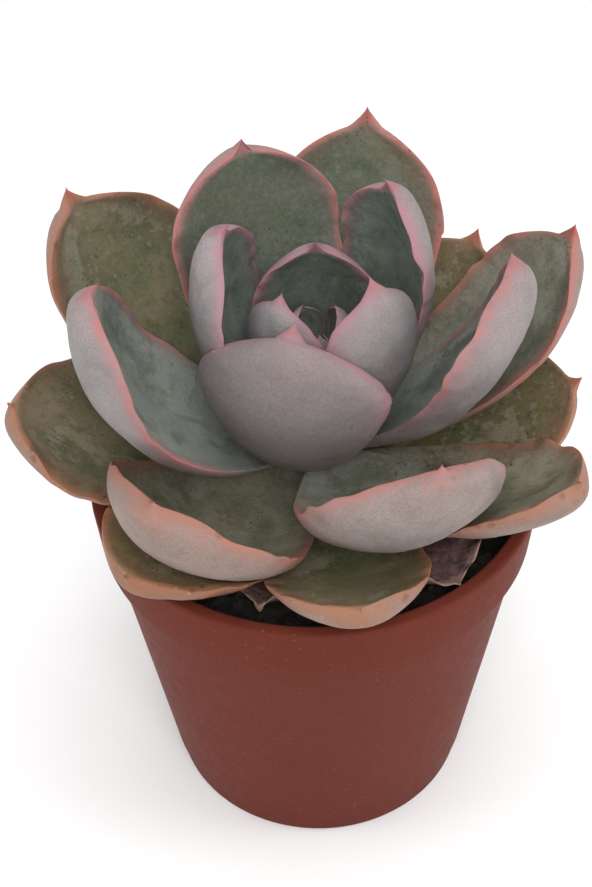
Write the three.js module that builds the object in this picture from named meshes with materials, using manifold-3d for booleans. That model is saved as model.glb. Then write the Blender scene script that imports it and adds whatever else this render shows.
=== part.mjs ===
// A small rosette succulent in a round nursery pot. Millimetres, +Z up, front towards -Y.
// The origin is the centre of the pot's flat underside.
import * as THREE from 'three';
import Module from 'manifold-3d';

const manifold = await Module();
manifold.setup();

// Pot: an 85 mm nursery pot with a banded rim
const POT_HEIGHT = 75;
const RIM_RADIUS = 42.5;
const BAND_HEIGHT = 12;
const BAND_FOOT_RADIUS = 41.5;
const BODY_TOP_RADIUS = 40;
const BASE_RADIUS = 30.6;
const FOOT_HEIGHT = 5;
const FOOT_INSET = 0.3;
const LIP_WIDTH = 2.8;
const WALL = 1.4;
const FLOOR = 1.8;
const EDGE = 0.5;
const POT_SEGMENTS = 72;
const DRAIN_COUNT = 8;
const DRAIN_RADIUS = 3;
const DRAIN_CIRCLE = 21;
const DRAIN_SEGMENTS = 20;

// Gap left between touching pieces
const GAP = 0.3;

// Potting mix
const SOIL_LEVEL = 67;
const SOIL_BUMP = 0.5;
const SOIL_SEGMENTS = 48;
const SOIL_RINGS = [38, 32, 26, 20, 14];
const POCKET_DEPTH = 8;

// Stem: it stands a little behind the middle of the pot
const STEM_X = 1;
const STEM_Y = 4;
const STEM_TOP = 89;
const STEM_TOP_RADIUS = 2;
const STEM_SOIL_RADIUS = 7.5;
const STEM_SEGMENTS = 24;

// Leaves: one after another down the stem, each a golden angle on from the last
const GOLDEN_ANGLE = 137.5;
const FIRST_AZIMUTH = 110;
const LEAF_PITCH = 0.65;
const BASE_CLEARANCE = 0.5;
const BEND_POWER = 1.6;
const ARC_STEPS = 200;

// Outline of a leaf: narrow at the base, widest past the middle, rounded at the end,
// with a small spine that flares into the blade
const LEAF_BASE_WIDTH = 7;
const WIDEST_AT = 0.63;
const WIDEN_POWER = 0.8;
const ROUND_POWER = 2.2;
const SPINE_FLARE = 0.75;
const SPINE_POWER = 1.5;
const SKEW_FROM = 0.35;

// Section of a leaf: a trough, flat above and full below, with sharp edges
const LEAF_THICKNESS = 6.5;
const THICKNESS_SHARE = 0.19;
const THIN_WIDTH = 3;
const NECK_LENGTH = 0.3;
const NECK_THICKNESS = 0.6;
const UPPER_SHARE = 0.2;
const EDGE_POWER = 1.3;

const LEAF_RINGS = [0, 0.08, 0.2, 0.34, 0.48, 0.6, 0.72, 0.82, 0.89, 0.93, 0.96, 0.98];
const LEAF_POINTS = 14;

// Per leaf, innermost first: turn off the spiral (degrees), tip radius and tip height (mm),
// bend (degrees), width (mm), cup and roll (degrees), bluntness of the end,
// length of the spine and sideways shift of the tip (mm)
const LEAVES = [
  [0, 0.8, 99, 10, 4, 40, 0, 0.7, 0.6, 0],
  [0, 1.2, 101, 10, 5, 40, 0, 0.7, 0.8, 0],
  [0, 1.6, 103, 15, 7, 45, 0, 0.7, 1, 0],
  [0, 1.8, 105, 30, 9, 45, 0, 0.7, 1.3, 0],
  [0, 3, 109, 40, 12, 45, 0, 0.7, 1.6, 0],
  [0, 3, 110, 40, 13, 45, 0, 0.7, 1.8, 0],
  [0, 9, 118, 55, 18, 45, 0, 0.65, 2.4, 0],
  [0, 9.5, 117, 48, 23, 40, 0, 0.55, 2.2, 0],
  [0, 12.5, 123, 75, 22, 45, 0, 0.65, 3.5, 0],
  [-5, 15, 126, 76, 29, 40, 0, 0.65, 3, 0],
  [-2, 16, 129, 74, 26, 40, -6, 0.5, 4, 1.5],
  [-9, 14.5, 117.5, 112, 34, 45, 0, 0.5, 3.4, 1],
  [-5, 29, 128.5, 52, 34, 28, 0, 0.5, 3, -0.8],
  [1, 33, 125, 76, 31, 35, -8, 0.85, 3, 1.5],
  [-11, 39, 123.5, 88, 35, 30, -6, 0.6, 2.6, 0],
  [6, 46, 123.5, 54, 34, 28, 0, 0.6, 4.4, 0],
  [1, 41, 105, 100, 36, 35, -6, 0.55, 1.2, 3],
  [-8, 51, 120.5, 62, 36, 28, -6, 0.5, 4.4, 4.5],
  [-1, 50, 115, 56, 30, 30, 0, 0.55, 4, 1.5],
  [-8, 47, 100, 95, 38, 35, -3, 0.55, 1.2, 1.5],
  [0, 52, 102, 50, 33, 28, 0, 0.6, 3, 0],
  [1, 53, 93.5, 55, 31, 28, -7, 0.6, 1.6, 0],
  [-7, 57, 92, 50, 39, 25, 0, 0.5, 1.6, 2.5],
  [0, 52, 98, 38, 31, 28, 0, 0.6, 3.5, 0],
  [4, 49, 84, 50, 29, 28, 0, 0.45, 0.6, 0],
  [-5, 51, 87, 30, 31, 25, 0, 0.6, 2.4, 0],
  [9, 50.5, 87, 25, 32, 25, 9, 0.6, 2.6, 0],
  [8, 51.5, 82, 12, 32, 22, 0, 0.5, 1, 0],
  [0, 48, 85, 15, 28, 25, 0, 0.6, 2, 0],
];

// Withered leaves on the mix: place on the spiral, tip radius, tip height, width
const DRY_LEAVES = [
  [30, 42, 73.5, 20],
  [33, 40, 73.5, 14],
];
const DRY_CLEARANCE = 14;
const DRY_BEND = -25;
const DRY_CUP = 25;
const DRY_THICKNESS = 1.4;
const DRY_TIP = 1;

const radians = THREE.MathUtils.degToRad;
const plant = new THREE.Group();
plant.name = 'potted_succulent';

function add(name, geometry, colour) {
  const material = new THREE.MeshStandardMaterial({ color: colour, roughness: 0.7 });
  const mesh = new THREE.Mesh(geometry, material);
  mesh.name = name;
  plant.add(mesh);
  return mesh;
}

// A closed skin over rings of equal length, capped by a fan at each end
function skin(rings, first, last) {
  const count = rings[0].length;
  const vertices = [first, ...rings.flat(), last];
  const faces = [];
  const at = (ring, point) => 1 + ring * count + (point % count);
  for (let point = 0; point < count; point++) {
    faces.push(0, at(0, point + 1), at(0, point));
    for (let ring = 0; ring + 1 < rings.length; ring++) {
      faces.push(at(ring, point), at(ring, point + 1), at(ring + 1, point + 1));
      faces.push(at(ring, point), at(ring + 1, point + 1), at(ring + 1, point));
    }
    faces.push(at(rings.length - 1, point), at(rings.length - 1, point + 1), vertices.length - 1);
  }
  const geometry = new THREE.BufferGeometry().setFromPoints(vertices);
  geometry.setIndex(faces);
  geometry.computeVertexNormals();
  return geometry;
}

function circle(radius, height, segments, x = 0, y = 0) {
  return Array.from({ length: segments }, (_, k) => {
    const angle = (2 * Math.PI * k) / segments;
    return new THREE.Vector3(x + radius * Math.cos(angle), y + radius * Math.sin(angle), height);
  });
}

function toSolid(geometry) {
  return new manifold.Manifold(new manifold.Mesh({
    numProp: 3,
    vertProperties: new Float32Array(geometry.attributes.position.array),
    triVerts: new Uint32Array(geometry.index.array),
  }));
}

function toGeometry(solid) {
  const mesh = solid.getMesh();
  const geometry = new THREE.BufferGeometry();
  geometry.setAttribute('position', new THREE.BufferAttribute(mesh.vertProperties, 3));
  geometry.setIndex(new THREE.BufferAttribute(mesh.triVerts, 1));
  geometry.computeVertexNormals();
  return geometry;
}

function outerRadius(height) {
  return THREE.MathUtils.mapLinear(height, 0, POT_HEIGHT - BAND_HEIGHT, BASE_RADIUS, BODY_TOP_RADIUS);
}

function innerRadius(height) {
  return Math.min(outerRadius(height) - WALL, RIM_RADIUS - LIP_WIDTH);
}

function potGeometry() {
  const bandFoot = POT_HEIGHT - BAND_HEIGHT;
  const lipInner = RIM_RADIUS - LIP_WIDTH;
  const profile = [
    [0, 0],
    [BASE_RADIUS - FOOT_INSET - EDGE, 0],
    [BASE_RADIUS - FOOT_INSET, EDGE],
    [outerRadius(FOOT_HEIGHT) - FOOT_INSET, FOOT_HEIGHT],
    [outerRadius(FOOT_HEIGHT + FOOT_INSET), FOOT_HEIGHT + FOOT_INSET],
    [BODY_TOP_RADIUS, bandFoot],
    [BAND_FOOT_RADIUS - EDGE, bandFoot],
    [BAND_FOOT_RADIUS, bandFoot + EDGE],
    [RIM_RADIUS, POT_HEIGHT - EDGE],
    [RIM_RADIUS - EDGE, POT_HEIGHT],
    [lipInner + EDGE, POT_HEIGHT],
    [lipInner, POT_HEIGHT - EDGE],
    [innerRadius(bandFoot), bandFoot],
    [innerRadius(FLOOR), FLOOR],
    [0, FLOOR],
  ];
  const rings = profile.slice(1, -1).map(([radius, height]) => circle(radius, height, POT_SEGMENTS));
  let pot = toSolid(skin(rings, new THREE.Vector3(), new THREE.Vector3(0, 0, FLOOR)));
  for (let hole = 0; hole < DRAIN_COUNT; hole++) {
    const angle = (2 * Math.PI * hole) / DRAIN_COUNT;
    const x = DRAIN_CIRCLE * Math.cos(angle);
    const y = DRAIN_CIRCLE * Math.sin(angle);
    const ends = [-FLOOR, 2 * FLOOR];
    const drill = ends.map((height) => circle(DRAIN_RADIUS, height, DRAIN_SEGMENTS, x, y));
    const axis = ends.map((height) => new THREE.Vector3(x, y, height));
    pot = pot.subtract(toSolid(skin(drill, axis[0], axis[1])));
  }
  return toGeometry(pot);
}

function stemRadius(height) {
  return THREE.MathUtils.mapLinear(height, SOIL_LEVEL, STEM_TOP, STEM_SOIL_RADIUS, STEM_TOP_RADIUS);
}

function stemGeometry() {
  const foot = SOIL_LEVEL - POCKET_DEPTH + GAP;
  const heights = [foot, SOIL_LEVEL, (SOIL_LEVEL + STEM_TOP) / 2, STEM_TOP - STEM_TOP_RADIUS];
  const rings = heights.map((z) => {
    const radius = z < SOIL_LEVEL ? STEM_SOIL_RADIUS : stemRadius(z);
    return circle(radius, z, STEM_SEGMENTS, STEM_X, STEM_Y);
  });
  rings.push(circle(STEM_TOP_RADIUS / 2, STEM_TOP - EDGE, STEM_SEGMENTS, STEM_X, STEM_Y));
  const bottom = new THREE.Vector3(STEM_X, STEM_Y, foot);
  return skin(rings, bottom, new THREE.Vector3(STEM_X, STEM_Y, STEM_TOP));
}

// The mix: a plug that fills the pot, bumpy on top, with a pocket for the stem
function soilGeometry() {
  const bottomHeight = FLOOR + GAP;
  const rings = [circle(innerRadius(FLOOR) - GAP, bottomHeight, SOIL_SEGMENTS)];
  SOIL_RINGS.forEach((radius, row) => {
    const ring = circle(radius, SOIL_LEVEL, SOIL_SEGMENTS);
    ring.forEach((point, k) => {
      const angle = (2 * Math.PI * k) / SOIL_SEGMENTS;
      point.z += SOIL_BUMP * (Math.sin(7 * angle + 2 * row) + Math.cos(11 * angle - row));
    });
    rings.push(ring);
  });
  const pocketRadius = STEM_SOIL_RADIUS + GAP;
  const pocketFoot = SOIL_LEVEL - POCKET_DEPTH;
  rings.push(circle(pocketRadius, SOIL_LEVEL, SOIL_SEGMENTS, STEM_X, STEM_Y));
  rings.push(circle(pocketRadius, pocketFoot, SOIL_SEGMENTS, STEM_X, STEM_Y));
  const bottom = new THREE.Vector3(0, 0, bottomHeight);
  return skin(rings, bottom, new THREE.Vector3(STEM_X, STEM_Y, pocketFoot));
}

// Half the width of a leaf at a share of its length
function halfWidth(share, length, leaf) {
  const base = Math.min(LEAF_BASE_WIDTH, leaf.width / 2) / 2;
  const bladeEnd = 1 - leaf.tip / length;
  const half = leaf.width / 2;
  if (share < WIDEST_AT) {
    return base + (half - base) * Math.sin((Math.PI / 2) * (share / WIDEST_AT)) ** WIDEN_POWER;
  }
  const along = Math.min((share - WIDEST_AT) / (bladeEnd - WIDEST_AT), 1);
  const blade = half * (1 - along ** ROUND_POWER) ** leaf.blunt;
  const spine = SPINE_FLARE * leaf.tip * Math.min((1 - share) / (1 - bladeEnd), 1) ** SPINE_POWER;
  return Math.hypot(blade, spine);
}

// A line from the stem to the tip that bends more and more on its way
function arc(fromRadius, fromHeight, toRadius, toHeight, bend) {
  const line = [{ x: 0, y: 0, angle: 0 }];
  for (let step = 1; step <= ARC_STEPS; step++) {
    const angle = bend * ((step - 0.5) / ARC_STEPS) ** BEND_POWER;
    const { x, y } = line[step - 1];
    line.push({ x: x + Math.cos(angle), y: y + Math.sin(angle), angle });
  }
  const end = line[ARC_STEPS];
  const scale = Math.hypot(toRadius - fromRadius, toHeight - fromHeight) / Math.hypot(end.x, end.y);
  const turn = Math.atan2(toHeight - fromHeight, toRadius - fromRadius) - Math.atan2(end.y, end.x);
  return line.map(({ x, y, angle }) => ({
    radial: fromRadius + scale * (x * Math.cos(turn) - y * Math.sin(turn)),
    height: fromHeight + scale * (x * Math.sin(turn) + y * Math.cos(turn)),
    angle: angle + turn,
    length: scale * ARC_STEPS,
  }));
}

// A fleshy leaf: a trough-shaped section swept along an arc from the stem to the tip;
// swell sets its skin that much further out
function leafGeometry(leaf, swell = 0) {
  const azimuth = radians(leaf.azimuth);
  const outward = new THREE.Vector3(Math.cos(azimuth), Math.sin(azimuth), 0);
  const across = new THREE.Vector3(-Math.sin(azimuth), Math.cos(azimuth), 0);
  const up = new THREE.Vector3(0, 0, 1);
  const baseRadius = stemRadius(Math.min(leaf.baseHeight, STEM_TOP)) + GAP + leaf.clearance;
  const centreLine = arc(baseRadius, leaf.baseHeight, leaf.reach, leaf.height, radians(leaf.bend));
  const cup = radians(leaf.cup);
  const place = (share) => {
    const { radial, height } = centreLine[Math.round(share * ARC_STEPS)];
    const shift = leaf.skew * (Math.max(share - SKEW_FROM, 0) / (1 - SKEW_FROM)) ** 2;
    const middle = new THREE.Vector3(STEM_X, STEM_Y, height).addScaledVector(outward, radial);
    return middle.addScaledVector(across, shift);
  };
  const rings = LEAF_RINGS.map((share) => {
    const point = place(share);
    const angle = centreLine[Math.round(share * ARC_STEPS)].angle;
    const along = outward.clone().multiplyScalar(Math.cos(angle)).addScaledVector(up, Math.sin(angle));
    const side = across.clone().applyAxisAngle(along, radians(leaf.roll));
    const inner = along.clone().cross(side);
    const half = halfWidth(share, centreLine[0].length, leaf) + swell;
    const neck = NECK_THICKNESS + (1 - NECK_THICKNESS) * Math.min(share / NECK_LENGTH, 1);
    const thick = leaf.thickness * neck * (half / (half + THIN_WIDTH));
    const curve = half / Math.sin(cup);
    return Array.from({ length: LEAF_POINTS }, (_, k) => {
      const turn = (2 * Math.PI * k) / LEAF_POINTS;
      const lean = cup * Math.cos(turn);
      const face = Math.sign(Math.sin(turn)) * Math.abs(Math.sin(turn)) ** EDGE_POWER;
      const part = face > 0 ? UPPER_SHARE : 1 - UPPER_SHARE;
      const depth = face * thick * part + Math.sin(turn) * swell;
      return point.clone()
        .addScaledVector(side, (curve - depth) * Math.sin(lean))
        .addScaledVector(inner, curve - (curve - depth) * Math.cos(lean));
    });
  });
  return skin(rings, place(0), place(1));
}

function azimuthOf(order) {
  return FIRST_AZIMUTH - GOLDEN_ANGLE * order;
}

function baseHeightOf(order) {
  return STEM_TOP - LEAF_PITCH * order;
}

// A leaf is dented wherever an inner leaf presses on it
const pressing = [];

function addLeaf(name, leaf, colour) {
  let solid = toSolid(leafGeometry(leaf));
  pressing.forEach((inner) => {
    solid = solid.subtract(inner);
  });
  const [largest] = solid.decompose().sort((a, b) => b.volume() - a.volume());
  add(name, toGeometry(largest), colour);
  pressing.push(toSolid(leafGeometry(leaf, GAP)));
}

add('pot', potGeometry(), '#8e4a3c');
add('soil', soilGeometry(), '#1f1a17');
add('stem', stemGeometry(), '#7d8560');

LEAVES.forEach(([turn, reach, height, bend, width, cup, roll, blunt, tip, skew], k) => {
  const order = k + 1;
  const leaf = {
    azimuth: azimuthOf(order) + turn,
    baseHeight: baseHeightOf(order),
    reach, height, bend, width, cup, roll, blunt, tip, skew,
    thickness: Math.min(LEAF_THICKNESS, width * THICKNESS_SHARE),
    clearance: BASE_CLEARANCE,
  };
  addLeaf('leaf_' + String(order).padStart(2, '0'), leaf, order < 14 ? '#a9aba9' : '#8b8f74');
});

DRY_LEAVES.forEach(([order, reach, height, width], k) => {
  const leaf = {
    azimuth: azimuthOf(order),
    baseHeight: baseHeightOf(order),
    reach, height, width, bend: DRY_BEND, cup: DRY_CUP, roll: 0, blunt: 1,
    tip: DRY_TIP,
    skew: 0,
    thickness: DRY_THICKNESS,
    clearance: DRY_CLEARANCE,
  };
  addLeaf('dry_leaf_' + (k + 1), leaf, '#6d4a45');
});

export default plant;
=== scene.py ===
"""A rosette succulent in a small nursery pot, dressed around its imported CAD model. Metres, +Z up."""

import math
import random

import bmesh
import bpy
import numpy as np
from mathutils import Matrix, Vector, noise
from mathutils.bvhtree import BVHTree


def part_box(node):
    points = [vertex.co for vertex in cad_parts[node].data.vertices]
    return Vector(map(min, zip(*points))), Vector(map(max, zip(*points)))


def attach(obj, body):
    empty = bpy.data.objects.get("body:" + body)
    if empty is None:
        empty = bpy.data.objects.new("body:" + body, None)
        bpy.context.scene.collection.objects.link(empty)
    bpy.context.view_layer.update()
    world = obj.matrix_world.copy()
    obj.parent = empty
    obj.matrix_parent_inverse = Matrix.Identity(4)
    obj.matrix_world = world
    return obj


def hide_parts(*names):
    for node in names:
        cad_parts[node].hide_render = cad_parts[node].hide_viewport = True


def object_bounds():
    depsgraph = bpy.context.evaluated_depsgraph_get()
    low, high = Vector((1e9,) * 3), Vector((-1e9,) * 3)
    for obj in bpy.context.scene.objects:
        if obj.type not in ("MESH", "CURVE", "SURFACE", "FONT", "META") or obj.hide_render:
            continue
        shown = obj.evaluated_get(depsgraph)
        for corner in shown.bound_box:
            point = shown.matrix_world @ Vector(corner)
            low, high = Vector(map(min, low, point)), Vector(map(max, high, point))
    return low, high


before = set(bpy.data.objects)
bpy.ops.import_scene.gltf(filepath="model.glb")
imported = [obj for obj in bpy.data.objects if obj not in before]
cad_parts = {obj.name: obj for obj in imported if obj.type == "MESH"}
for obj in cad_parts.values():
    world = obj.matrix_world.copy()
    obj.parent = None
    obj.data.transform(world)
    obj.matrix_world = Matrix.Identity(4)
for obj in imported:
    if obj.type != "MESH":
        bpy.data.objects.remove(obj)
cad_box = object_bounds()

MM = 0.001

# Camera (millimetres, degrees; the near clip in metres)
AIM = (-3.4, 0.0, 80.9)
AIM_DISTANCE = 293.5
ELEVATION = 42.4
ROLL = -1.63
LENS_MM = 63.7204
SENSOR_MM = 36
CLIP_START = 0.01

# Stage (metres, watts)
FLOOR_SIZE = 6
FLOOR_DROP = 0.0002
LIGHT_TARGET = (0, 0, 0.09)
LIGHTS = [
    ("soft_top", (0.05, 0.05, 0.9), 0.7, 3),
    ("soft_left", (-0.8, -0.1, 0.4), 0.5, 2.2),
    ("soft_right", (0.8, -0.1, 0.4), 0.5, 2.8),
    ("front_fill", (0.05, -0.7, 0.75), 0.6, 5.4),
]
SKY_STRENGTH = 0.55

# Pot, as in the CAD model: its outside is as large as the CAD pot
pot_low, pot_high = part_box("pot")
POT_HEIGHT = round(pot_high.z / MM, 2)
RIM_RADIUS = round((pot_high.x - pot_low.x) / 2 / MM, 2)
BAND_HEIGHT = 12
BAND_FOOT_RADIUS = 41.5
BODY_TOP_RADIUS = 40
BASE_RADIUS = 30.6
FOOT_HEIGHT = 5
FOOT_INSET = 0.3
LIP_WIDTH = 2.8
WALL = 1.4
FLOOR = 1.8
EDGE = 0.8
DRAIN_COUNT = 8
DRAIN_RADIUS = 3
DRAIN_CIRCLE = 21
POT_SEGMENTS = 192
DRILL_SEGMENTS = 48

# Potting mix: a bumpy bed that rises to the wall, under loose grains
GAP = 0.3
SOIL_LEVEL = 67
SOIL_INSET = 0.6
SOIL_BUMPS = ((0.9, 0.16), (0.5, 0.6))
SOIL_BANK = 1.2
SOIL_BANK_WIDTH = 6
SOIL_RINGS = 40
SOIL_SEGMENTS = 160
GRAIN_COUNT = 2000
GRAIN_SEED = 7
SMALLEST_GRAIN = 0.35
GRAIN_SPREAD = 1.25
GRAIN_BULGE = 0.55
GRAIN_PITCH = 1.3
GRAIN_RAISE = 0.15
GRAIN_TURN = 6.28
GRAIN_UPRIGHT = 0.1
GRAIN_STRETCH = ((0.7, 1.5), (0.6, 1.1), (0.4, 0.9))

# Stem, where the CAD stem stands
stem_low, stem_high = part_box("stem")
STEM_X = round((stem_low.x + stem_high.x) / 2 / MM, 2)
STEM_Y = round((stem_low.y + stem_high.y) / 2 / MM, 2)
STEM_TOP = round(stem_high.z / MM, 2)
STEM_TOP_RADIUS = 2
STEM_SOIL_RADIUS = 7.5
STEM_DEPTH = 7
STEM_DOME = 2
SCAR_DEPTH = 0.2
SCAR_PITCH = 3.1
STEM_RINGS = 90
STEM_SEGMENTS = 48

# Leaves: one after another down the stem, each a golden angle on from the last
GOLDEN_ANGLE = 137.5
FIRST_AZIMUTH = 110
LEAF_PITCH = 0.65
BASE_CLEARANCE = 0.5
BEND_POWER = 1.6
ARC_STEPS = 200

# Outline of a leaf
LEAF_BASE_WIDTH = 7
WIDEST_AT = 0.63
WIDEN_POWER = 0.8
ROUND_POWER = 2.2
SPINE_FLARE = 0.75
SPINE_POWER = 1.5
SKEW_FROM = 0.35

# Section of a leaf
LEAF_THICKNESS = 6.5
THICKNESS_SHARE = 0.19
THIN_WIDTH = 3
NECK_LENGTH = 0.3
NECK_THICKNESS = 0.6
UPPER_SHARE = 0.2
EDGE_POWER = 1.3

LEAF_POINTS = 64
LEAF_RINGS = 84
RING_POWER = 1.45

# Unevenness of a leaf: swelling (size, pitch), rolled rim, and the margin's ripples (pitch along the leaf)
BROAD_SWELL = (0.5, 0.1)
SMALL_SWELL = (0.12, 0.4)
RIM_ROLL = 0.18
RIM_ROLL_AT = 2
RIM_ROLL_WIDTH = 1.3
RIPPLE = 0.06
SWAY_PITCH = 6
LIFT_PITCH = 4
NOTCH_PITCH = 14
NOTCH = 14
WAVE_WIDTH = 30
COLOUR_WIDTH = 25
SHORT_SPINE = 3
SEED_STEP = 1.37
DRY_SEED_STEP = 5.5

# Per leaf, innermost first: turn off the spiral (degrees), tip radius and tip height (mm),
# bend (degrees), width (mm), cup and roll (degrees), bluntness of the end,
# length of the spine and sideways shift of the tip (mm)
LEAVES = [
    (0, 0.8, 99, 10, 4, 40, 0, 0.7, 0.6, 0),
    (0, 1.2, 101, 10, 5, 40, 0, 0.7, 0.8, 0),
    (0, 1.6, 103, 15, 7, 45, 0, 0.7, 1, 0),
    (0, 1.8, 105, 30, 9, 45, 0, 0.7, 1.3, 0),
    (0, 3, 109, 40, 12, 45, 0, 0.7, 1.6, 0),
    (0, 3, 110, 40, 13, 45, 0, 0.7, 1.8, 0),
    (0, 9, 118, 55, 18, 45, 0, 0.65, 2.4, 0),
    (0, 9.5, 117, 48, 23, 40, 0, 0.55, 2.2, 0),
    (0, 12.5, 123, 75, 22, 45, 0, 0.65, 3.5, 0),
    (-5, 15, 126, 76, 29, 40, 0, 0.65, 3, 0),
    (-2, 16, 129, 74, 26, 40, -6, 0.5, 4, 1.5),
    (-9, 14.5, 117.5, 112, 34, 45, 0, 0.5, 3.4, 1),
    (-5, 29, 128.5, 52, 34, 28, 0, 0.5, 3, -0.8),
    (1, 33, 125, 76, 31, 35, -8, 0.85, 3, 1.5),
    (-11, 39, 123.5, 88, 35, 30, -6, 0.6, 2.6, 0),
    (6, 46, 123.5, 54, 34, 28, 0, 0.6, 4.4, 0),
    (1, 41, 105, 100, 36, 35, -6, 0.55, 1.2, 3),
    (-8, 51, 120.5, 62, 36, 28, -6, 0.5, 4.4, 4.5),
    (-1, 50, 115, 56, 30, 30, 0, 0.55, 4, 1.5),
    (-8, 47, 100, 95, 38, 35, -3, 0.55, 1.2, 1.5),
    (0, 52, 102, 50, 33, 28, 0, 0.6, 3, 0),
    (1, 53, 93.5, 55, 31, 28, -7, 0.6, 1.6, 0),
    (-7, 57, 92, 50, 39, 25, 0, 0.5, 1.6, 2.5),
    (0, 52, 98, 38, 31, 28, 0, 0.6, 3.5, 0),
    (4, 49, 84, 50, 29, 28, 0, 0.45, 0.6, 0),
    (-5, 51, 87, 30, 31, 25, 0, 0.6, 2.4, 0),
    (9, 50.5, 87, 25, 32, 25, 9, 0.6, 2.6, 0),
    (8, 51.5, 82, 12, 32, 22, 0, 0.5, 1, 0),
    (0, 48, 85, 15, 28, 25, 0, 0.6, 2, 0),
]

# Per leaf: wax bloom left on the inner face, bloom on the outer face, how far it has turned to tan
LOOKS = [
    (1.3, 1.0, 0.0),
    (1.3, 1.0, 0.0),
    (1.3, 1.0, 0.0),
    (1.3, 1.0, 0.0),
    (1.3, 0.9, 0.0),
    (1.3, 0.8, 0.0),
    (1.1, 0.8, 0.0),
    (0.3, 0.8, 0.05),
    (0.9, 0.6, 0.0),
    (0.5, 1.0, 0.0),
    (0.45, 0.9, 0.05),
    (0.9, 0.15, 0.05),
    (0.1, 0.8, 0.15),
    (1.2, 0.9, 0.15),
    (1.2, 1.0, 0.15),
    (0.2, 0.8, 0.45),
    (1.1, 0.9, 0.4),
    (0.25, 0.8, 0.7),
    (0.75, 0.8, 0.5),
    (0.6, 0.7, 0.6),
    (0.35, 0.7, 0.7),
    (0.8, 0.6, 0.7),
    (0.35, 0.7, 0.8),
    (0.1, 0.7, 0.85),
    (0.3, 0.85, 0.8),
    (0.2, 0.7, 0.85),
    (0.1, 0.7, 0.85),
    (0.3, 0.15, 1.0),
    (0.3, 0.7, 0.9),
]

# Where a leaf lies against an inner one it is dented
DENT_GAP = 0.25
DENT_LIMIT = 9
DENT_SPREAD = 4
DENT_LEAST = 0.01
RAY_STEP = 0.01
THINNEST = 0.7

# Withered leaves: place on the spiral, tip radius, tip height, width
DRY_LEAVES = [
    (30, 42, 73.5, 20),
    (33, 40, 73.5, 14),
]
DRY_CLEARANCE = 14
DRY_DEPTH = 8
DRY_WAVE = 1.2
DRY_RIPPLE = 0.15
DRY_BEND = -25
DRY_CUP = 25
DRY_THICKNESS = 1.4
DRY_TIP = 1


# ---------------------------------------------------------------- geometry

def make_object(name, vertices, faces, material, shade_smooth=True):
    mesh = bpy.data.meshes.new(name)
    mesh.from_pydata([tuple(v) for v in vertices], [], faces)
    mesh.update()
    if shade_smooth:
        mesh.polygons.foreach_set("use_smooth", [True] * len(mesh.polygons))
    mesh.materials.append(material)
    made = bpy.data.objects.new(name, mesh)
    bpy.context.scene.collection.objects.link(made)
    return made


def set_attribute(obj, name, values):
    layer = obj.data.attributes.new(name, "FLOAT", "POINT")
    layer.data.foreach_set("value", np.asarray(values, np.float32))


def skin_faces(rings, points):
    """Faces of a closed skin: vertex 0 caps the first ring, the last vertex caps the last one."""
    last = rings * points + 1
    faces = []
    for point in range(points):
        after = (point + 1) % points
        faces.append((0, 1 + after, 1 + point))
        for ring in range(rings - 1):
            low, high = 1 + ring * points, 1 + (ring + 1) * points
            faces.append((low + point, low + after, high + after, high + point))
        top = 1 + (rings - 1) * points
        faces.append((top + point, top + after, last))
    return faces


def stem_radius(height):
    share = (height - SOIL_LEVEL) / (STEM_TOP - SOIL_LEVEL)
    return STEM_SOIL_RADIUS + share * (STEM_TOP_RADIUS - STEM_SOIL_RADIUS)


def arc(from_radius, from_height, to_radius, to_height, bend):
    """A line from the stem to the tip that bends more and more on its way: radius, height, angle."""
    x, y, line = 0.0, 0.0, [(0.0, 0.0, 0.0)]
    for step in range(1, ARC_STEPS + 1):
        angle = bend * ((step - 0.5) / ARC_STEPS) ** BEND_POWER
        x, y = x + math.cos(angle), y + math.sin(angle)
        line.append((x, y, angle))
    run, rise = to_radius - from_radius, to_height - from_height
    scale = math.hypot(run, rise) / math.hypot(x, y)
    turn = math.atan2(rise, run) - math.atan2(y, x)
    cos, sin = math.cos(turn), math.sin(turn)
    placed = [
        (from_radius + scale * (a * cos - b * sin), from_height + scale * (a * sin + b * cos), c + turn)
        for a, b, c in line
    ]
    return placed, scale * ARC_STEPS


def half_width(share, length, leaf):
    """Half the width of a leaf at a share of its length: neck, blade, then the spine."""
    base = min(LEAF_BASE_WIDTH, leaf["width"] / 2) / 2
    blade_end = 1 - leaf["tip"] / length
    half = leaf["width"] / 2
    if share < WIDEST_AT:
        return base + (half - base) * math.sin(math.pi / 2 * share / WIDEST_AT) ** WIDEN_POWER
    along = min((share - WIDEST_AT) / (blade_end - WIDEST_AT), 1)
    blade = half * (1 - along**ROUND_POWER) ** leaf["blunt"]
    spine = SPINE_FLARE * leaf["tip"] * min((1 - share) / (1 - blade_end), 1) ** SPINE_POWER
    return math.hypot(blade, spine)


def smooth(low, high, x):
    """0 below low, 1 above high, and an S-curve between."""
    t = min(max((x - low) / (high - low), 0), 1)
    return t * t * (3 - 2 * t)


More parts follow.
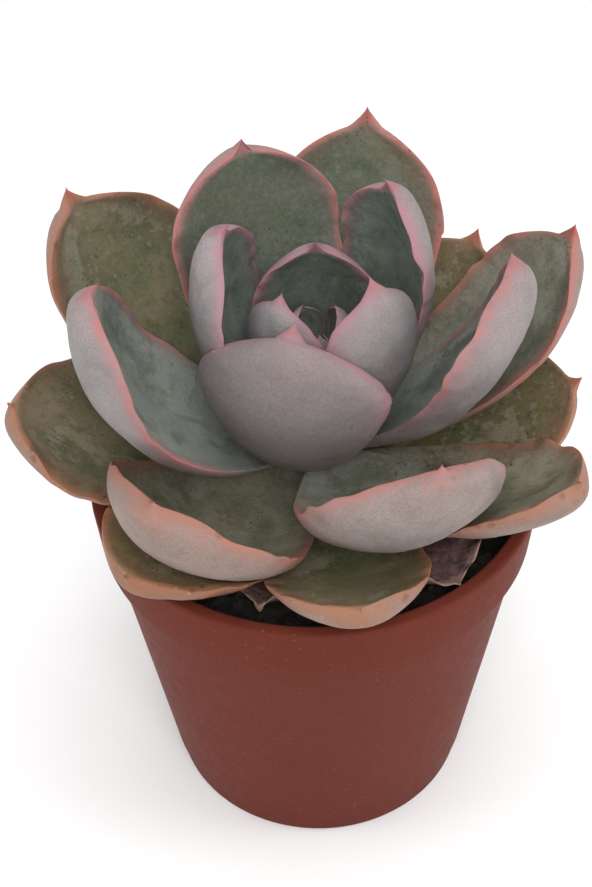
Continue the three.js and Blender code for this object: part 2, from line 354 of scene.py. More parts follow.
def leaf_skin(leaf, seed):
    """A fleshy leaf: a trough-shaped section swept along an arc from the stem to the tip."""
    azimuth = math.radians(leaf["azimuth"])
    outward = Vector((math.cos(azimuth), math.sin(azimuth), 0))
    across = Vector((-math.sin(azimuth), math.cos(azimuth), 0))
    up = Vector((0, 0, 1))
    base_radius = stem_radius(min(leaf["base"], STEM_TOP)) + GAP + leaf["clearance"]
    line, length = arc(base_radius, leaf["base"], leaf["reach"], leaf["height"], math.radians(leaf["bend"]))
    cup = math.radians(leaf["cup"])

    def place(share):
        low = min(int(share * ARC_STEPS), ARC_STEPS - 1)
        part = share * ARC_STEPS - low
        radial, height, angle = [(1 - part) * a + part * b for a, b in zip(line[low], line[low + 1])]
        shift = leaf["skew"] * (max(share - SKEW_FROM, 0) / (1 - SKEW_FROM)) ** 2
        return Vector((STEM_X, STEM_Y, height)) + outward * radial + across * shift, angle

    rings, inners, data = [], [], []
    for ring in range(LEAF_RINGS):
        share = 1 - (1 - ring / LEAF_RINGS) ** RING_POWER
        centre, angle = place(share)
        along = outward * math.cos(angle) + up * math.sin(angle)
        side = Matrix.Rotation(math.radians(leaf["roll"]), 3, along) @ across
        inner = along.cross(side)
        half = half_width(share, length, leaf)
        neck = NECK_THICKNESS + (1 - NECK_THICKNESS) * min(share / NECK_LENGTH, 1)
        thick = leaf["thickness"] * neck * half / (half + THIN_WIDTH)
        curve = half / math.sin(cup)
        points = []
        for point in range(LEAF_POINTS):
            turn = 2 * math.pi * point / LEAF_POINTS
            sin, cos = math.sin(turn), math.cos(turn)
            face = math.copysign(abs(sin) ** EDGE_POWER, sin)
            depth = face * thick * (UPPER_SHARE if sin > 0 else 1 - UPPER_SHARE)
            edge = min(math.hypot(half * (1 - abs(cos)), depth), (1 - share) * length)
            spot = centre + side * half * cos
            swell = BROAD_SWELL[0] * noise.noise(spot * BROAD_SWELL[1] + Vector((seed, 0, 0)))
            swell += SMALL_SWELL[0] * noise.noise(spot * SMALL_SWELL[1] + Vector((0, seed, 0)))
            depth += swell * smooth(0, 6, edge) * leaf["wave"]
            if sin > 0:
                roll = RIM_ROLL * math.exp(-(((edge - RIM_ROLL_AT) / RIM_ROLL_WIDTH) ** 2))
                depth += roll * smooth(0.2, 0.5, share) * leaf["wave"]
            sway = noise.noise(Vector((share * SWAY_PITCH, math.copysign(2, cos), seed)))
            reach = 1 + leaf["ripple"] * sway * abs(cos) ** 3 * smooth(0.2, 0.5, share)
            lift = noise.noise(Vector((share * LIFT_PITCH, cos, seed + 9)))
            lift *= leaf["ripple"] * half * cos**4 * smooth(0.3, 0.6, share)
            notch = noise.noise(Vector((share * NOTCH_PITCH, math.copysign(3, cos), seed + 4)))
            notch *= NOTCH * leaf["ripple"] * leaf["wave"]
            lift += notch * abs(cos) ** 6 * smooth(0.45, 0.7, share)
            lean = cup * cos * reach
            rise = curve - (curve - depth) * math.cos(lean) + lift
            points.append(centre + side * ((curve - depth) * math.sin(lean)) + inner * rise)
            middle = half * abs(cos)
            shown = edge * max(1, COLOUR_WIDTH / leaf["width"])
            from_tip = (1 - share) * length + max(0, SHORT_SPINE - leaf["tip"]) * 2
            data.append((share, shown, 0.5 + 0.5 * max(-1, min(1, sin * 4)), from_tip, middle))
        rings.append(points)
        inners.append(inner)
    data = [(0, 0, 0.5, length, 0), *data, (1, 0, 0.5, 0, 0)]
    return {"foot": place(0)[0], "rings": rings, "end": place(1)[0], "inners": inners, "data": data}


def skin_vertices(skin):
    return [skin["foot"], *[v for ring in skin["rings"] for v in ring], skin["end"]]


def through(tree, start, way, thickness):
    """How far a point of the inner face must go to lie clear below a leaf that presses on it."""
    place, normal, _, gone = tree.ray_cast(start, way, DENT_LIMIT)
    if place is None:
        return 0
    if normal.dot(way) > 0:
        return gone + DENT_GAP
    if gone > thickness:
        return 0
    _, _, _, more = tree.ray_cast(place + way * RAY_STEP, way, DENT_LIMIT)
    return gone + more + DENT_GAP if more else 0


def dent(skin, pressing, depth=0):
    """Pushes the inner face down wherever a leaf of pressing lies in it, or within depth below it."""
    rings, half_turn = skin["rings"], LEAF_POINTS // 2
    push = np.zeros((LEAF_RINGS, half_turn + 1))
    for row, (ring, inner) in enumerate(zip(rings, skin["inners"])):
        for k in range(half_turn + 1):
            below = ring[-k % LEAF_POINTS]
            thickness = max((ring[k] - below).dot(inner), depth)
            for tree in pressing:
                push[row, k] = max(push[row, k], through(tree, ring[k], -inner, thickness))
    for _ in range(DENT_SPREAD):
        grown = np.pad(push, 1, mode="edge")
        around = (grown[:-2, 1:-1] + grown[2:, 1:-1] + grown[1:-1, :-2] + grown[1:-1, 2:]) / 4
        push = np.maximum(push, around)
    for row, (ring, inner) in enumerate(zip(rings, skin["inners"])):
        for k in range(half_turn + 1):
            if push[row, k] < DENT_LEAST:
                continue
            ring[k] = ring[k] - inner * push[row, k]
            below = -k % LEAF_POINTS
            if k in (0, half_turn):
                continue
            short = THINNEST * math.sin(math.pi * k / half_turn) - (ring[k] - ring[below]).dot(inner)
            if short > 0:
                ring[below] = ring[below] - inner * short


def leaf_object(name, skin, material, look, seed):
    """The mesh of a leaf, with what its material reads at each vertex."""
    vertices = [v * MM for v in skin_vertices(skin)]
    made = make_object(name, vertices, skin_faces(LEAF_RINGS, LEAF_POINTS), material)
    for key, values in zip(("along", "edge", "inner", "tip", "middle"), zip(*skin["data"])):
        set_attribute(made, key, values)
    for key, value in zip(("wax", "pale", "tan", "seed"), (*look, seed)):
        set_attribute(made, key, [value] * len(vertices))
    return made


def lathe(name, profile, segments, material):
    """profile runs from the axis round to the axis again, in mm."""
    vertices = [(0, 0, profile[0][1] * MM)]
    for radius, height in profile[1:-1]:
        for k in range(segments):
            angle = 2 * math.pi * k / segments
            vertices.append((radius * math.cos(angle) * MM, radius * math.sin(angle) * MM, height * MM))
    vertices.append((0, 0, profile[-1][1] * MM))
    return make_object(name, vertices, skin_faces(len(profile) - 2, segments), material)


def rounded(profile, radius, steps=5, most=0.45):
    """The profile with every corner rounded off by at most radius, or most of a side's length."""
    result = [profile[0]]
    for before, corner, after in zip(profile, profile[1:], profile[2:]):
        b, c, a = Vector(before), Vector(corner), Vector(after)
        reach = min(radius, (b - c).length * most, (a - c).length * most)
        start, end = c + (b - c).normalized() * reach, c + (a - c).normalized() * reach
        for k in range(steps + 1):
            t = k / steps
            point = start * (1 - t) ** 2 + c * 2 * t * (1 - t) + end * t * t
            result.append((point.x, point.y))
    result.append(profile[-1])
    return result


# --------------------------------------------------------------- materials

class Shader:
    """Short calls for a material's nodes. Numbers go in as socket values, nodes as links."""

    def __init__(self, name):
        self.material = bpy.data.materials.new(name)
        self.material.use_nodes = True
        self.tree = self.material.node_tree
        self.tree.nodes.clear()
        self.output = self.tree.nodes.new("ShaderNodeOutputMaterial")
        self.surface = self.tree.nodes.new("ShaderNodeBsdfPrincipled")
        self.tree.links.new(self.surface.outputs[0], self.output.inputs[0])

    def put(self, socket, value):
        if isinstance(value, bpy.types.NodeSocket):
            self.tree.links.new(value, socket)
        elif isinstance(value, tuple) and len(socket.default_value) == 4:
            socket.default_value = (*value, 1)
        else:
            socket.default_value = value

    def set(self, **values):
        for name, value in values.items():
            self.put(self.surface.inputs[name.replace("_", " ")], value)

    def attribute(self, name):
        node = self.tree.nodes.new("ShaderNodeAttribute")
        node.attribute_name = name
        return node.outputs["Fac"]

    def position(self):
        return self.tree.nodes.new("ShaderNodeTexCoord").outputs["Object"]

    def shifted(self, vector, offset):
        node = self.tree.nodes.new("ShaderNodeVectorMath")
        node.operation = "ADD"
        self.put(node.inputs[0], vector)
        self.put(node.inputs[1], offset)
        return node.outputs[0]

    def stretched(self, vector, scale):
        node = self.tree.nodes.new("ShaderNodeMapping")
        self.put(node.inputs["Vector"], vector)
        node.inputs["Scale"].default_value = scale
        return node.outputs[0]

    def math(self, operation, a, b):
        node = self.tree.nodes.new("ShaderNodeMath")
        node.operation = operation
        self.put(node.inputs[0], a)
        self.put(node.inputs[1], b)
        return node.outputs[0]

    def ramp(self, value, low, high, to_low=0.0, to_high=1.0):
        node = self.tree.nodes.new("ShaderNodeMapRange")
        node.interpolation_type = "SMOOTHSTEP"
        for name, number in (
            ("Value", value), ("From Min", low), ("From Max", high),
            ("To Min", to_low), ("To Max", to_high),
        ):
            self.put(node.inputs[name], number)
        return node.outputs[0]

    def noise(self, vector, scale, detail=4, roughness=0.55, distortion=0.0):
        node = self.tree.nodes.new("ShaderNodeTexNoise")
        for name, value in (
            ("Vector", vector), ("Scale", scale), ("Detail", detail),
            ("Roughness", roughness), ("Distortion", distortion),
        ):
            self.put(node.inputs[name], value)
        return node.outputs["Fac"]

    def cells(self, vector, scale, output="Distance"):
        node = self.tree.nodes.new("ShaderNodeTexVoronoi")
        self.put(node.inputs["Vector"], vector)
        self.put(node.inputs["Scale"], scale)
        return node.outputs[output]

    def channel(self, colour):
        node = self.tree.nodes.new("ShaderNodeSeparateColor")
        self.put(node.inputs[0], colour)
        return node.outputs[0]

    def mix(self, share, a, b):
        node = self.tree.nodes.new("ShaderNodeMix")
        node.data_type = "RGBA"
        self.put(node.inputs[0], share)
        self.put(node.inputs[6], a)
        self.put(node.inputs[7], b)
        return node.outputs[2]

    def bump(self, height, distance, strength=1.0, normal=None):
        node = self.tree.nodes.new("ShaderNodeBump")
        self.put(node.inputs["Strength"], strength)
        self.put(node.inputs["Distance"], distance)
        self.put(node.inputs["Height"], height)
        if normal is not None:
            self.put(node.inputs["Normal"], normal)
        return node.outputs[0]


def specks(shader, vector, scale, size, share):
    """Round specks: a share of the cells each holds one, up to size of a cell across."""
    distance = shader.cells(vector, scale)
    chance = shader.channel(shader.cells(vector, scale, "Color"))
    on = shader.math("LESS_THAN", chance, share)
    return shader.math("MULTIPLY", shader.ramp(distance, size, size * 0.6), on)


def leaf_material():
    s = Shader("waxy_leaf")
    place = s.position()
    here = s.shifted(place, s.attribute("seed"))
    along, edge, inner = s.attribute("along"), s.attribute("edge"), s.attribute("inner")
    tip, middle = s.attribute("tip"), s.attribute("middle")
    wax, pale, tan = s.attribute("wax"), s.attribute("pale"), s.attribute("tan")
    face = s.ramp(inner, 0.1, 0.9)
    blade = s.ramp(along, 0.2, 0.5)

    broad = s.ramp(s.noise(here, 60, 3), 0.32, 0.68)
    cloud = s.noise(here, 120, 6, 0.62, 0.6)
    smear = s.noise(s.stretched(here, (1, 1, 0.7)), 90, 9, 0.72, 0.25)
    fine = s.noise(here, 1100, 5, 0.65)
    grain = s.noise(here, 4200, 3)

    # Skin, where the wax is rubbed off
    green = s.mix(broad, (0.046, 0.074, 0.062), (0.078, 0.098, 0.068))
    olive = s.mix(broad, (0.078, 0.088, 0.020), (0.150, 0.126, 0.034))
    brown = s.math("MULTIPLY", tan, s.ramp(cloud, 0.45, 0.65))
    brown = s.math("ADD", brown, s.math("MULTIPLY", tan, s.ramp(edge, 11.0, 2.0, 0.0, 0.55)))
    olive = s.mix(s.math("MINIMUM", brown, 0.9), olive, (0.165, 0.092, 0.042))
    lilac = s.mix(broad, (0.150, 0.136, 0.142), (0.185, 0.150, 0.148))
    peach = s.mix(broad, (0.22, 0.145, 0.105), (0.27, 0.155, 0.10))
    peach = s.mix(s.ramp(tan, 0.85, 1.0), peach, (0.17, 0.105, 0.055))
    skin = s.mix(face, s.mix(tan, lilac, peach), s.mix(tan, green, olive))

    # Wax bloom: a pale veil, patchy on the inner face
    bloom_inner = s.mix(tan, (0.255, 0.290, 0.270), (0.275, 0.245, 0.155))
    bloom_outer = s.mix(broad, (0.275, 0.270, 0.280), (0.315, 0.275, 0.280))
    tawny = s.mix(s.ramp(cloud, 0.4, 0.65), (0.335, 0.245, 0.195), (0.29, 0.185, 0.135))
    bloom = s.mix(face, s.mix(tan, bloom_outer, tawny), bloom_inner)
    worn = s.ramp(s.math("ADD", smear, s.math("MULTIPLY", fine, 0.2)), 0.60, 0.66)
    cover = s.math("MULTIPLY", s.ramp(cloud, 0.28, 0.66, 0.3, 1.1), s.mix(face, pale, wax))
    wear = s.math("ADD", 0.2, s.math("MULTIPLY", tan, 0.7))
    wear = s.math("MULTIPLY", s.math("MULTIPLY", worn, face), wear)
    cover = s.math("MULTIPLY", cover, s.math("SUBTRACT", 1.0, wear))
    kept = s.math("MULTIPLY", s.ramp(smear, 0.54, 0.565), s.ramp(edge, 2.5, 6.0))
    kept = s.math("MULTIPLY", s.math("MULTIPLY", kept, tan), s.math("MULTIPLY", face, 0.7))
    cover = s.math("MAXIMUM", cover, kept)
    rim = s.math("MULTIPLY", s.ramp(edge, 1.4, 2.6), s.ramp(edge, 6.0, 2.6))
    rim = s.math("MULTIPLY", s.math("MULTIPLY", rim, face), s.ramp(fine, 0.35, 0.6, 0.0, 0.45))
    cover = s.math("ADD", cover, s.math("MULTIPLY", rim, wax))
    cover = s.math("MINIMUM", cover, 1.0)
    colour = s.mix(cover, skin, bloom)
    colour = s.mix(s.ramp(fine, 0.38, 0.75, 0.0, 0.2), colour, (0.33, 0.31, 0.28))
    colour = s.mix(s.ramp(grain, 0.38, 0.68, 0.0, 0.36), colour, (0.055, 0.052, 0.045))

    stain = s.ramp(s.noise(here, 330, 7, 0.72), 0.50, 0.62)
    stain = s.math("MULTIPLY", stain, s.ramp(tan, 0.1, 0.9, 0.1, 0.4))
    colour = s.mix(stain, colour, s.mix(face, (0.19, 0.105, 0.072), (0.060, 0.048, 0.024)))

    # Coloured edge: a thin ragged line in a wide faint flush
    ragged = s.math("MULTIPLY", s.math("SUBTRACT", s.noise(here, 520, 7, 0.75), 0.5), 4.0)
    from_edge = s.math("ADD", edge, ragged)
    bare = s.math("SUBTRACT", 1.0, pale)
    reach = s.math("MULTIPLY", tan, s.ramp(face, 0.0, 1.0, -1.0, 4.0))
    reach = s.math("ADD", reach, s.math("MULTIPLY", bare, s.ramp(face, 0.0, 1.0, 4.5, 0.0)))
    reach = s.math("ADD", s.ramp(face, 0.0, 1.0, 5.5, 4.5), reach)
    flush = s.math("MULTIPLY", s.ramp(from_edge, reach, -0.5), blade)
    flush = s.math("MULTIPLY", flush, s.ramp(cloud, 0.3, 0.6, 0.35, 0.7))
    flush_outer = s.mix(tan, (0.27, 0.185, 0.200), (0.26, 0.130, 0.080))
    flush_outer = s.mix(s.ramp(tan, 0.7, 1.0), flush_outer, (0.20, 0.098, 0.056))
    flush_inner = s.mix(tan, (0.165, 0.110, 0.115), (0.20, 0.098, 0.050))
    colour = s.mix(flush, colour, s.mix(face, flush_outer, flush_inner))
    wide = s.math("ADD", 2.4, s.math("MULTIPLY", bare, 2.6))
    line = s.mix(face, s.ramp(from_edge, wide, -0.4), s.ramp(from_edge, 2.0, 0.0))
    line = s.math("MULTIPLY", s.math("MULTIPLY", line, blade), s.ramp(cloud, 0.3, 0.6, 0.3, 0.85))
    line_colour = s.mix(s.ramp(tan, 0.0, 0.2), (0.36, 0.165, 0.200), (0.40, 0.135, 0.120))
    line_colour = s.mix(s.ramp(tan, 0.35, 0.8), line_colour, (0.30, 0.125, 0.070))
    colour = s.mix(line, colour, line_colour)

    # The spine and the short ridge below it
    ridge = s.math("MULTIPLY", s.ramp(tip, 4.5, 1.5), s.ramp(middle, 1.5, 0.4))
    spine = s.mix(s.ramp(tan, 0.1, 0.4), (0.30, 0.13, 0.14), (0.31, 0.085, 0.065))
    colour = s.mix(s.math("MULTIPLY", ridge, 0.85), colour, spine)

    # Dirt on the inner face, brown scars along the edge of old leaves, pale freckles
    patch = s.ramp(s.noise(here, 70, 2), 0.52, 0.62)
    dirt = s.math("MULTIPLY", s.math("MULTIPLY", specks(s, here, 1500, 0.34, 0.22), patch), face)
    colour = s.mix(s.math("MULTIPLY", dirt, 0.8), colour, (0.022, 0.017, 0.013))
    lone = s.math("MULTIPLY", specks(s, here, 500, 0.2, 0.03), s.math("ADD", 0.35, tan))
    colour = s.mix(s.math("MINIMUM", lone, 0.8), colour, (0.05, 0.03, 0.02))
    by_edge = s.math("MULTIPLY", tan, s.ramp(edge, 3.5, 0.6))
    scars = s.math("MULTIPLY", specks(s, here, 420, 0.45, 0.14), by_edge)
    colour = s.mix(s.math("MULTIPLY", scars, 0.6), colour, (0.10, 0.042, 0.022))
    freckle = s.math("MULTIPLY", specks(s, here, 900, 0.34, 0.08), tan)
    colour = s.mix(s.math("MULTIPLY", freckle, 0.35), colour, (0.36, 0.32, 0.24))

    height = s.math("ADD", s.math("MULTIPLY", cover, 0.4), s.math("MULTIPLY", fine, 0.45))
    height = s.math("ADD", height, s.math("MULTIPLY", grain, 0.15))
    s.set(
        Base_Color=colour,
        Roughness=s.ramp(cover, 0.0, 1.0, 0.42, 0.65),
        Normal=s.bump(height, 0.0004, 0.6),
        Subsurface_Weight=0.1,
        Subsurface_Radius=(0.6, 0.4, 0.25),
        Subsurface_Scale=0.003,
        Specular_IOR_Level=0.25,
    )
    return s.material


def pot_material():
    s = Shader("terracotta_plastic")
    place = s.position()
    broad = s.noise(place, 38, 3)
    grain = s.noise(place, 1500, 3)
    colour = s.mix(broad, (0.116, 0.026, 0.017), (0.134, 0.031, 0.020))
    dust = s.noise(place, 420, 6, 0.7)
    colour = s.mix(s.ramp(dust, 0.5, 0.85, 0.0, 0.15), colour, (0.22, 0.07, 0.047))
    pale = specks(s, place, 1300, 0.24, 0.05)
    colour = s.mix(s.math("MULTIPLY", pale, 0.45), colour, (0.33, 0.17, 0.12))
    colour = s.mix(s.ramp(grain, 0.35, 0.7, 0.0, 0.3), colour, (0.085, 0.018, 0.012))
    lines = s.noise(s.stretched(place, (1, 1, 0.16)), 900, 3, 0.6)
    colour = s.mix(s.ramp(lines, 0.70, 0.80, 0.0, 0.25), colour, (0.32, 0.17, 0.13))
    height = s.math("ADD", s.math("MULTIPLY", grain, 0.4), s.math("MULTIPLY", lines, 0.6))
    s.set(
        Base_Color=colour,
        Roughness=s.ramp(dust, 0.3, 0.8, 0.45, 0.6),
        Normal=s.bump(height, 0.00008, 0.6),
        Specular_IOR_Level=0.03,
    )
    return s.material


def soil_material():
    s = Shader("potting_mix")
    place = s.position()
    tone = s.noise(place, 260, 6, 0.7)
    colour = s.mix(s.ramp(tone, 0.35, 0.7), (0.006, 0.005, 0.0045), (0.035, 0.024, 0.017))
    flecks = specks(s, place, 500, 0.35, 0.05)
    colour = s.mix(s.math("MULTIPLY", flecks, 0.7), colour, (0.12, 0.085, 0.055))
    s.set(
        Base_Color=colour,
        Roughness=s.ramp(tone, 0.3, 0.7, 0.65, 0.95),
        Normal=s.bump(s.noise(place, 1400, 6, 0.7), 0.0005, 0.9),
    )
    return s.material


def stem_material():
    s = Shader("stem_skin")
    place = s.position()
    tone = s.noise(place, 240, 5)
    colour = s.mix(s.ramp(tone, 0.35, 0.65), (0.16, 0.15, 0.075), (0.30, 0.22, 0.13))
    s.set(Base_Color=colour, Roughness=0.7, Normal=s.bump(s.noise(place, 700, 5), 0.0004, 0.7))
    return s.material


def dry_material():
    s = Shader("withered_leaf")
    place = s.position()
    edge = s.attribute("edge")
    tone = s.noise(place, 420, 6, 0.65, 0.8)
    colour = s.mix(s.ramp(tone, 0.35, 0.65), (0.055, 0.028, 0.030), (0.16, 0.085, 0.075))
    torn = s.ramp(s.math("ADD", edge, s.math("MULTIPLY", tone, 1.6)), 1.9, 0.9)
    colour = s.mix(s.math("MULTIPLY", torn, 0.8), colour, (0.42, 0.27, 0.19))
    veins = s.noise(s.stretched(place, (1, 1, 3)), 900, 4)
    s.set(Base_Color=colour, Roughness=0.75, Normal=s.bump(veins, 0.0006, 0.8))
    return s.material


def floor_material():
    s = Shader("pale_floor")
    tone = s.noise(s.position(), 12, 3)
    s.set(Base_Color=s.mix(tone, (0.86, 0.86, 0.86), (0.88, 0.88, 0.88)), Roughness=0.8)
    return s.material


# ------------------------------------------------------------------ pieces

def outer_radius(height):
    return BASE_RADIUS + (BODY_TOP_RADIUS - BASE_RADIUS) * height / (POT_HEIGHT - BAND_HEIGHT)


def inner_radius(height):
    return min(outer_radius(height) - WALL, RIM_RADIUS - LIP_WIDTH)


def build_pot():
    band_foot = POT_HEIGHT - BAND_HEIGHT
    lip_inner = RIM_RADIUS - LIP_WIDTH
    profile = [
        (0, 0),
        (BASE_RADIUS - FOOT_INSET, 0),
        (outer_radius(FOOT_HEIGHT) - FOOT_INSET, FOOT_HEIGHT),
        (outer_radius(FOOT_HEIGHT + FOOT_INSET), FOOT_HEIGHT + FOOT_INSET),
        (BODY_TOP_RADIUS, band_foot),
        (BAND_FOOT_RADIUS, band_foot),
        (RIM_RADIUS, POT_HEIGHT),
        (lip_inner, POT_HEIGHT),
        (inner_radius(band_foot), band_foot),
        (inner_radius(FLOOR), FLOOR),
        (0, FLOOR),
    ]
    pot = lathe("nursery_pot", rounded(profile, EDGE), POT_SEGMENTS, pot_material())
    for hole in range(DRAIN_COUNT):
        angle = 2 * math.pi * hole / DRAIN_COUNT
        at = Vector((DRAIN_CIRCLE * math.cos(angle), DRAIN_CIRCLE * math.sin(angle), 0)) * MM
        bpy.ops.mesh.primitive_cylinder_add(
            vertices=DRILL_SEGMENTS, radius=DRAIN_RADIUS * MM, depth=4 * FLOOR * MM, location=at
        )
        drill = bpy.context.object
        cut = pot.modifiers.new("drain", "BOOLEAN")
        cut.operation, cut.solver, cut.object = "DIFFERENCE", "EXACT", drill
        bpy.context.view_layer.objects.active = pot
        bpy.ops.object.modifier_apply(modifier=cut.name)
        bpy.data.objects.remove(drill)
    return pot


def on_bed(radius, angle, edge_radius):
    """The point of the mix's surface at a radius and an angle."""
    flat = Vector((radius * math.cos(angle), radius * math.sin(angle), 0))
    height = SOIL_LEVEL + sum(size * noise.noise(flat * pitch) for size, pitch in SOIL_BUMPS)
    height += SOIL_BANK * smooth(edge_radius - SOIL_BANK_WIDTH, edge_radius, radius)
    return Vector((flat.x, flat.y, height))


def build_soil(material):
    """The mix: a bumpy bed and the loose grains that lie on it."""
    bottom = FLOOR + GAP
    foot_radius = inner_radius(FLOOR) - GAP
    top_radius = inner_radius(SOIL_LEVEL) - SOIL_INSET
    vertices = [Vector((0, 0, bottom)) * MM]
    for k in range(SOIL_SEGMENTS):
        angle = 2 * math.pi * k / SOIL_SEGMENTS
        vertices.append(Vector((foot_radius * math.cos(angle), foot_radius * math.sin(angle), bottom)) * MM)
    for ring in range(SOIL_RINGS):
        radius = top_radius * (1 - ring / SOIL_RINGS)
        for k in range(SOIL_SEGMENTS):
            angle = 2 * math.pi * k / SOIL_SEGMENTS
            vertices.append(on_bed(radius, angle, top_radius) * MM)
    vertices.append(Vector((0, 0, SOIL_LEVEL)) * MM)
    bed = make_object("soil_bed", vertices, skin_faces(SOIL_RINGS + 1, SOIL_SEGMENTS), material)

    ball = bmesh.new()
    bmesh.ops.create_icosphere(ball, subdivisions=2, radius=1)
    points = [v.co.copy() for v in ball.verts]
    tris = [[v.index for v in f.verts] for f in ball.faces]
    ball.free()
    rng = random.Random(GRAIN_SEED)
    vertices, faces = [], []
    for _ in range(GRAIN_COUNT):
        radius = top_radius * math.sqrt(rng.random())
        angle = rng.uniform(0, 2 * math.pi)
        size = SMALLEST_GRAIN + GRAIN_SPREAD * rng.random() ** 3
        middle = on_bed(radius, angle, top_radius)
        if radius + size > top_radius:
            continue
        if (middle.xy - Vector((STEM_X, STEM_Y))).length < STEM_SOIL_RADIUS + size:
            continue
        middle.z += size * GRAIN_RAISE
        turned = rng.uniform(0, GRAIN_TURN)
        axis = Vector((rng.random(), rng.random(), rng.random() + GRAIN_UPRIGHT)).normalized()
        turn = Matrix.Rotation(turned, 3, axis)
        stretch = Vector([rng.uniform(*limits) for limits in GRAIN_STRETCH])
        first, salt = len(vertices), rng.uniform(0, 90)
        for p in points:
            bulge = 1 + GRAIN_BULGE * noise.noise(p * GRAIN_PITCH + Vector((salt, 0, 0)))
            q = turn @ Vector((p.x * stretch.x, p.y * stretch.y, p.z * stretch.z)) * (size * bulge)
            vertices.append((middle + q) * MM)
        faces.extend([[first + i for i in tri] for tri in tris])
    grains = make_object("soil_grains", vertices, faces, material, shade_smooth=False)
    return [bed, grains]


def build_stem():
    """A stubby stem with the rings that old leaf bases leave."""
    foot = SOIL_LEVEL - STEM_DEPTH
    vertices = [Vector((STEM_X, STEM_Y, foot)) * MM]
    for ring in range(STEM_RINGS):
        height = foot + (STEM_TOP - foot) * ring / STEM_RINGS
        in_dome = max(0, (height - STEM_TOP) / STEM_DOME + 1)
        radius = stem_radius(max(height, SOIL_LEVEL)) * math.sqrt(1 - in_dome**2)
        for k in range(STEM_SEGMENTS):
            angle = 2 * math.pi * k / STEM_SEGMENTS
            scar = SCAR_DEPTH * math.sin(height * SCAR_PITCH + 2 * math.sin(angle * 3)) - SCAR_DEPTH
            r = radius + scar * min(1, radius / 3)
            spot = Vector((STEM_X + r * math.cos(angle), STEM_Y + r * math.sin(angle), height))
            vertices.append(spot * MM)
    vertices.append(Vector((STEM_X, STEM_Y, STEM_TOP)) * MM)
    return make_object("rosette_stem", vertices, skin_faces(STEM_RINGS, STEM_SEGMENTS), stem_material())


def azimuth_of(order):
    return FIRST_AZIMUTH - GOLDEN_ANGLE * order


def build_leaves():
    """The rosette from the bud out; each leaf is dented by the ones inside it, which are returned."""
    material = leaf_material()
    faces = skin_faces(LEAF_RINGS, LEAF_POINTS)
    pressing = []
    for order, (row, look) in enumerate(zip(LEAVES, LOOKS), 1):
        turn, reach, height, bend, width, cup, roll, blunt, tip, skew = row
        seed = order * SEED_STEP
        leaf = {
            "azimuth": azimuth_of(order) + turn,
            "base": STEM_TOP - LEAF_PITCH * order,
            "reach": reach, "height": height, "bend": bend, "width": width,
            "cup": cup, "roll": roll, "blunt": blunt, "tip": tip, "skew": skew,
            "thickness": min(LEAF_THICKNESS, width * THICKNESS_SHARE),
            "clearance": BASE_CLEARANCE,
            "wave": min(1, width / WAVE_WIDTH),
            "ripple": RIPPLE,
        }
        skin = leaf_skin(leaf, seed)
        dent(skin, pressing)
        pressing.append(BVHTree.FromPolygons(skin_vertices(skin), faces))
        name = f"leaf_{order:02d}"
        piece = leaf_object("fleshy_" + name, skin, material, look, seed)
        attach(piece, "root")
        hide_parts(name)
    return pressing


def build_dry_leaves(pressing):
    """The withered remnants that droop onto the mix, below the living leaves."""
    material = dry_material()
    for k, (order, reach, height, width) in enumerate(DRY_LEAVES, 1):
        leaf = {
            "azimuth": azimuth_of(order),
            "base": STEM_TOP - LEAF_PITCH * order,
            "reach": reach, "height": height, "bend": DRY_BEND, "width": width,
            "cup": DRY_CUP, "roll": 0, "blunt": 1,
            "tip": DRY_TIP,
            "skew": 0,
            "thickness": DRY_THICKNESS,
            "clearance": DRY_CLEARANCE,
            "wave": DRY_WAVE,
            "ripple": DRY_RIPPLE,
        }
        seed = DRY_SEED_STEP * k
        skin = leaf_skin(leaf, seed)
        dent(skin, pressing, DRY_DEPTH)
        piece = leaf_object(f"withered_leaf_{k}", skin, material, (0, 0, 1), seed)
        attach(piece, "root")
        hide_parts(f"dry_leaf_{k}")


# ------------------------------------------------------- camera and lights

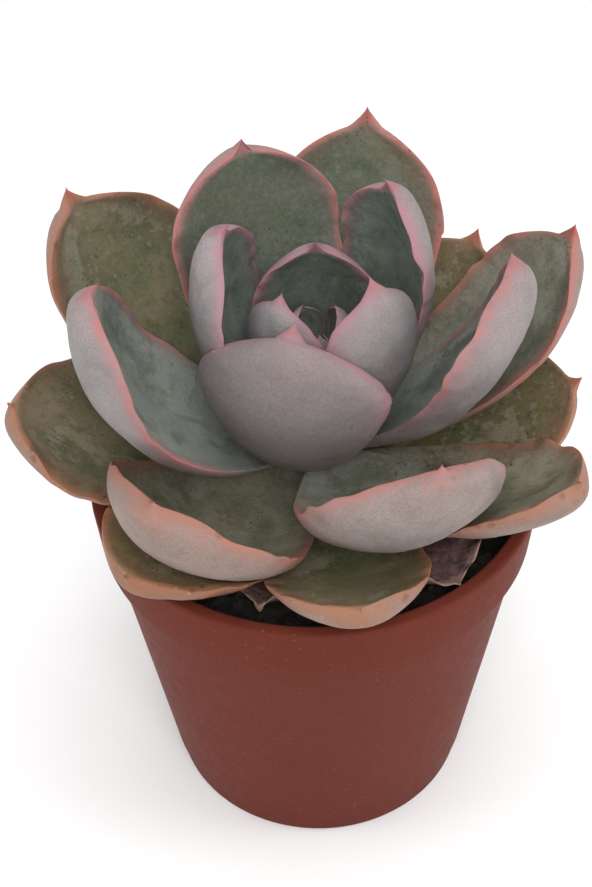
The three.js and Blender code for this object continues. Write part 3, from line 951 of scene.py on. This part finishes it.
def add_camera():
    """Looks down at the rosette from the front, turned a little about its own axis."""
    rise = math.radians(ELEVATION)
    back = Vector((0, -math.cos(rise), math.sin(rise)))
    right = Vector((1, 0, 0))
    up = right.cross(-back)
    roll = math.radians(ROLL)
    axis_x = right * math.cos(roll) + up * math.sin(roll)
    axis_y = up * math.cos(roll) - right * math.sin(roll)
    camera = bpy.data.cameras.new("camera")
    camera.lens = LENS_MM
    camera.sensor_width = SENSOR_MM
    camera.sensor_fit = "AUTO"
    camera.clip_start = CLIP_START
    made = bpy.data.objects.new("camera", camera)
    place = (Vector(AIM) + back * AIM_DISTANCE) * MM
    turn = Matrix((axis_x, axis_y, back)).transposed().to_4x4()
    made.matrix_world = Matrix.Translation(place) @ turn
    bpy.context.scene.collection.objects.link(made)
    bpy.context.scene.camera = made


def add_light(name, place, size, watts):
    """A round soft lamp that faces the plant."""
    lamp = bpy.data.lights.new(name, "AREA")
    lamp.shape = "DISK"
    lamp.size = size
    lamp.energy = watts
    made = bpy.data.objects.new(name, lamp)
    made.location = place
    made.rotation_euler = (Vector(LIGHT_TARGET) - Vector(place)).to_track_quat("-Z", "Y").to_euler()
    bpy.context.scene.collection.objects.link(made)


def add_stage():
    """A plain floor, four soft lamps and an even white sky."""
    under_pot = cad_box[0][2] - FLOOR_DROP
    bpy.ops.mesh.primitive_plane_add(size=FLOOR_SIZE, location=(0, 0, under_pot))
    floor = bpy.context.object
    floor.name = "floor"
    floor.data.materials.append(floor_material())
    for name, place, size, watts in LIGHTS:
        add_light(name, place, size, watts)
    world = bpy.data.worlds.new("studio")
    world.use_nodes = True
    background = world.node_tree.nodes["Background"]
    background.inputs["Color"].default_value = (1, 1, 1, 1)
    background.inputs["Strength"].default_value = SKY_STRENGTH
    bpy.context.scene.world = world
    bpy.context.scene.view_settings.view_transform = "Standard"


add_camera()
pot = build_pot()
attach(pot, "root")
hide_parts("pot")
for part in build_soil(soil_material()):
    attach(part, "root")
    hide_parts("soil")
stem = build_stem()
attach(stem, "root")
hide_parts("stem")
build_dry_leaves(build_leaves())
add_stage()
